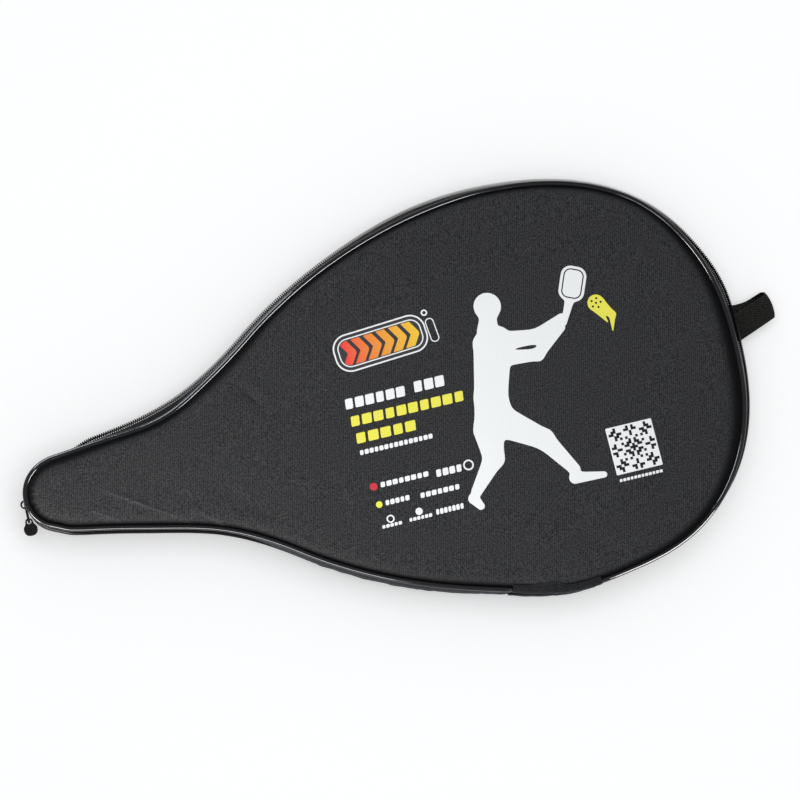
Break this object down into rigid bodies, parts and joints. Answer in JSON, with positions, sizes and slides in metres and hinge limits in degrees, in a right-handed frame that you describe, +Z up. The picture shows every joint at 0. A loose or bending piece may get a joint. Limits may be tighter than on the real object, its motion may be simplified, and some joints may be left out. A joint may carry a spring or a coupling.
{
  "type": "padded paddle case",
  "caption": "Closed teardrop case for a racket-sport paddle, with padded woven panels, piping, a coil zip round the rim, a fabric hinge and a webbing hang loop.",
  "frame": {"origin": "on the surface the case rests on, under the middle of its bounding box", "axes": "+X from the handle end to the head, +Y to the zipped side, +Z up through the front panel, with the case lying on its back"},
  "size_m": [0.459, 0.243, 0.031],
  "materials": {
    "woven_cloth": "black plain-weave polyester with a faint sheen",
    "lining_cloth": "black brushed lining cloth",
    "foam_sheet": "charcoal closed-cell foam sheet",
    "tape_cloth": "black woven zip and binding tape",
    "vinyl_piping": "glossy black soft vinyl",
    "nylon_coil": "black nylon coil",
    "black_enamel": "black enamelled metal",
    "soft_rubber": "black moulded soft rubber",
    "webbing": "black twill webbing"
  },
  "bodies": {
    "base": {"back_panel": "woven_cloth", "back_foam": "foam_sheet", "back_lining": "lining_cloth", "back_seam_binding": "tape_cloth", "back_piping": "vinyl_piping", "back_hinge_cover": "woven_cloth", "back_zip_tape": "tape_cloth", "back_zip_coil": "nylon_coil", "top_stop_back": "black_enamel", "bottom_stop": "black_enamel", "hinge_gusset": "woven_cloth"},
    "lid": {"front_panel": "woven_cloth", "front_foam": "foam_sheet", "front_lining": "lining_cloth", "front_seam_binding": "tape_cloth", "front_piping": "vinyl_piping", "front_hinge_cover": "woven_cloth", "front_zip_tape": "tape_cloth", "front_zip_coil": "nylon_coil", "top_stop_front": "black_enamel"},
    "slider": {"slider_body": "black_enamel", "slider_inner_plate": "black_enamel", "slider_bail": "black_enamel"},
    "puller": {"zip_puller": "black_enamel"},
    "tab": {"pull_tab": "soft_rubber"},
    "loop": {"hang_loop": "webbing"}
  },
  "joints": [
    {"name": "lid_open", "type": "hinge", "parent": "base", "child": "lid", "pos_m": [-0.11894, -0.05915, 0.0155], "axis": [0.9214, -0.3886, 0], "range_deg": [0, 175], "deforming": ["hinge_gusset"]},
    {"name": "slider_travel", "type": "hinge", "parent": "base", "child": "slider", "pos_m": [-0.20058, -0.00011, 0.0155], "axis": [0, 0, -1], "range_deg": [0, 70]},
    {"name": "puller_flip", "type": "hinge", "parent": "slider", "child": "puller", "pos_m": [-0.22558, -0.00011, 0.0155], "axis": [0, 0, -1], "range_deg": [0, 155]},
    {"name": "pull_tab_swing", "type": "hinge", "parent": "puller", "child": "tab", "pos_m": [-0.22558, -0.01031, 0.0155], "axis": [0, 0, 1], "range_deg": [-20, 10]},
    {"name": "loop_flop", "type": "hinge", "parent": "base", "child": "loop", "pos_m": [0.20151, 0.00882, 0.00745], "axis": [0.3256, -0.9455, 0], "range_deg": [-6, 30]}
  ]
}
